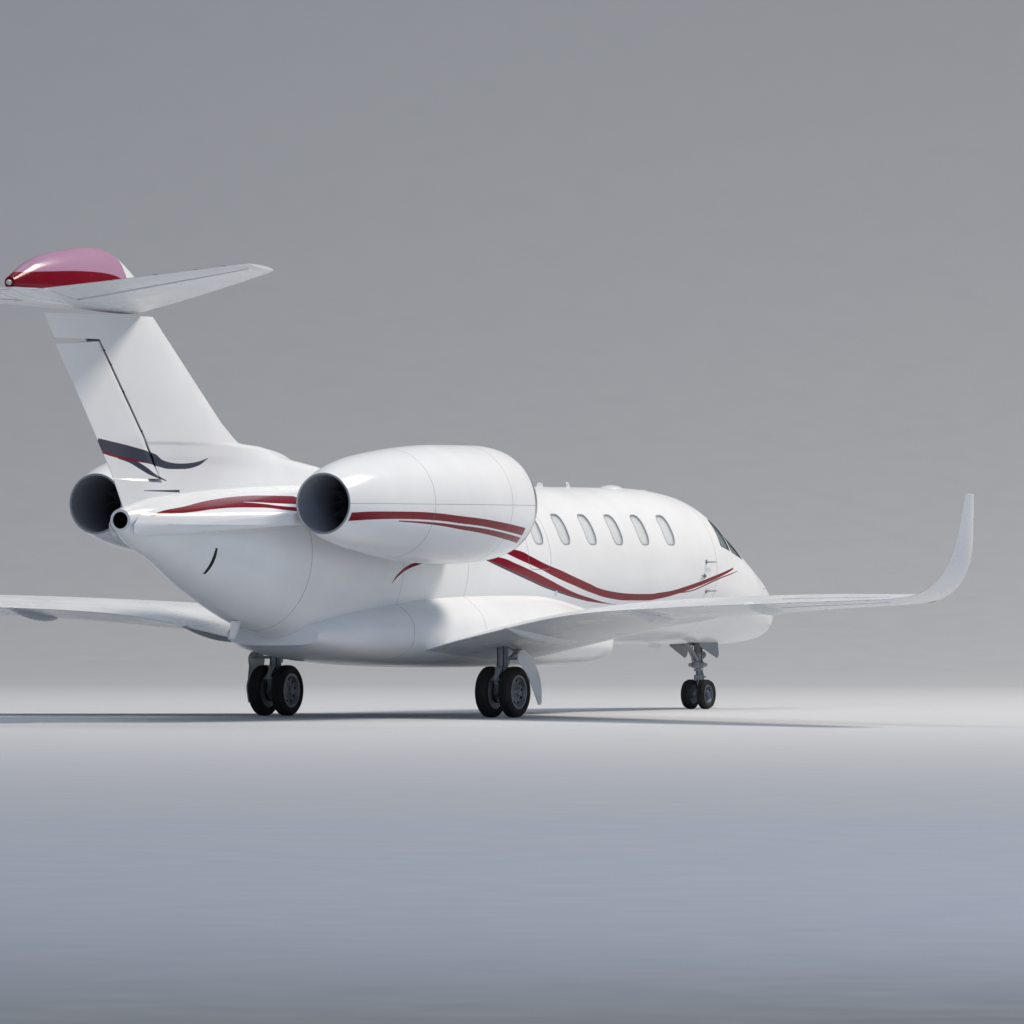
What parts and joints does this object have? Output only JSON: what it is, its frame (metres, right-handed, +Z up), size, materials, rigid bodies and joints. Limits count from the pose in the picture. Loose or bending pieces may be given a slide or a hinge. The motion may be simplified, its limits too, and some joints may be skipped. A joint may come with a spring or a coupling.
{
  "type": "business jet",
  "caption": "Twin-engine business jet parked on its gear, with swept wings, winglets, a high tailplane and rear-mounted engines.",
  "frame": {"origin": "on the ground under the middle of the aircraft's bounding box", "axes": "-Y to the nose, +X to the port side, +Z up"},
  "size_m": [21.029, 22.04, 5.87],
  "materials": {
    "white_shell": "gloss white paint",
    "white_wing": "gloss white paint",
    "white_composite": "gloss white paint on a moulded skin",
    "red_composite": "deep red paint fading to pink",
    "dark_metal": "dull dark metal",
    "bare_metal": "satin metal",
    "gear_paint": "satin pale grey paint",
    "steel": "brushed",
    "rubber": "matt black",
    "leather": "soft tan",
    "plastic": "dark matt",
    "glass": "tinted, clear"
  },
  "bodies": {
    "airframe": {"belly_fairing": "white_composite", "cabin_floor_and_seats": "leather", "cabin_fuselage": "white_shell", "cockpit_glazing": "glass", "cockpit_seats_and_panel": "plastic", "engine_core_left": "dark_metal", "engine_core_right": "dark_metal", "fin": "white_composite", "fin_cap": "red_composite", "flap_left": "white_wing", "flap_right": "white_wing", "forward_fuselage": "white_shell", "main_gear_door_left": "white_composite", "main_gear_door_right": "white_composite", "main_gear_leg_left": "gear_paint", "main_gear_leg_right": "gear_paint", "nacelle_left": "white_composite", "nacelle_right": "white_composite", "nose_gear_door_left": "white_composite", "nose_gear_door_right": "white_composite", "nose_gear_leg": "gear_paint", "pylon_left": "white_composite", "pylon_right": "white_composite", "radome": "white_composite", "stabiliser": "white_composite", "tail_fuselage": "white_shell", "wing_left": "white_wing", "wing_right": "white_wing"},
    "entry_door": {"entry_door": "white_shell"},
    "aileron_left": {"aileron_left": "white_wing"},
    "aileron_right": {"aileron_right": "white_wing"},
    "rudder": {"rudder": "white_composite"},
    "elevator_left": {"elevator_left": "white_composite"},
    "elevator_right": {"elevator_right": "white_composite"},
    "fan_left": {"fan_left": "bare_metal"},
    "fan_right": {"fan_right": "bare_metal"},
    "nose_fork": {"nose_gear_fork": "steel"},
    "nose_wheels": {"nose_wheels": "bare_metal", "nose_tyre_inner": "rubber", "nose_tyre_outer": "rubber"},
    "main_wheels_left": {"main_left_wheels": "bare_metal", "main_left_tyre_inner": "rubber", "main_left_tyre_outer": "rubber"},
    "main_wheels_right": {"main_right_wheels": "bare_metal", "main_right_tyre_inner": "rubber", "main_right_tyre_outer": "rubber"}
  },
  "joints": [
    {"name": "entry_door_hinge", "type": "hinge", "parent": "airframe", "child": "entry_door", "pos_m": [0.6344, -7.53, 1.157], "axis": [-0.0124, 0.9999, 0], "range_deg": [0, 110]},
    {"name": "aileron_left_hinge", "type": "hinge", "parent": "airframe", "child": "aileron_left", "pos_m": [7.05, 2.8225, 1.48954], "axis": [0.8622, 0.506, 0.0252], "range_deg": [-20, 20]},
    {"name": "aileron_right_hinge", "type": "hinge", "parent": "airframe", "child": "aileron_right", "pos_m": [-9.1, 4.02551, 1.54942], "axis": [0.8622, -0.506, -0.0252], "range_deg": [-20, 20]},
    {"name": "rudder_hinge", "type": "hinge", "parent": "airframe", "child": "rudder", "pos_m": [0, 6.18625, 3.03], "axis": [0, 0.6839, 0.7295], "range_deg": [-22, 22]},
    {"name": "elevator_left_hinge", "type": "hinge", "parent": "airframe", "child": "elevator_left", "pos_m": [0.4, 8.84852, 5.2678], "axis": [0.8726, 0.4846, 0.0616], "range_deg": [-18, 23]},
    {"name": "elevator_right_hinge", "type": "hinge", "parent": "airframe", "child": "elevator_right", "pos_m": [-3.82, 10.74778, 5.50918], "axis": [0.8726, -0.4846, -0.0616], "range_deg": [-18, 23]},
    {"name": "fan_left_spin", "type": "hinge", "parent": "airframe", "child": "fan_left", "pos_m": [1.63, 0.71, 2.73], "axis": [0, 1, 0], "continuous": true},
    {"name": "fan_right_spin", "type": "hinge", "parent": "airframe", "child": "fan_right", "pos_m": [-1.63, 0.71, 2.73], "axis": [0, 1, 0], "continuous": true},
    {"name": "nose_steering", "type": "hinge", "parent": "airframe", "child": "nose_fork", "pos_m": [0, -9.11, 0.56], "axis": [0, 0, 1], "range_deg": [-60, 60]},
    {"name": "nose_wheels_roll", "type": "hinge", "parent": "nose_fork", "child": "nose_wheels", "pos_m": [0, -9.11, 0.203], "axis": [1, 0, 0], "continuous": true},
    {"name": "main_wheels_left_roll", "type": "hinge", "parent": "airframe", "child": "main_wheels_left", "pos_m": [1.665, -0.06, 0.33], "axis": [1, 0, 0], "continuous": true},
    {"name": "main_wheels_right_roll", "type": "hinge", "parent": "airframe", "child": "main_wheels_right", "pos_m": [-1.665, -0.06, 0.33], "axis": [1, 0, 0], "continuous": true}
  ],
  "couplings": [
    {"joint": "aileron_right_hinge", "follows": "aileron_left_hinge", "ratio": -1},
    {"joint": "elevator_right_hinge", "follows": "elevator_left_hinge", "ratio": 1}
  ]
}
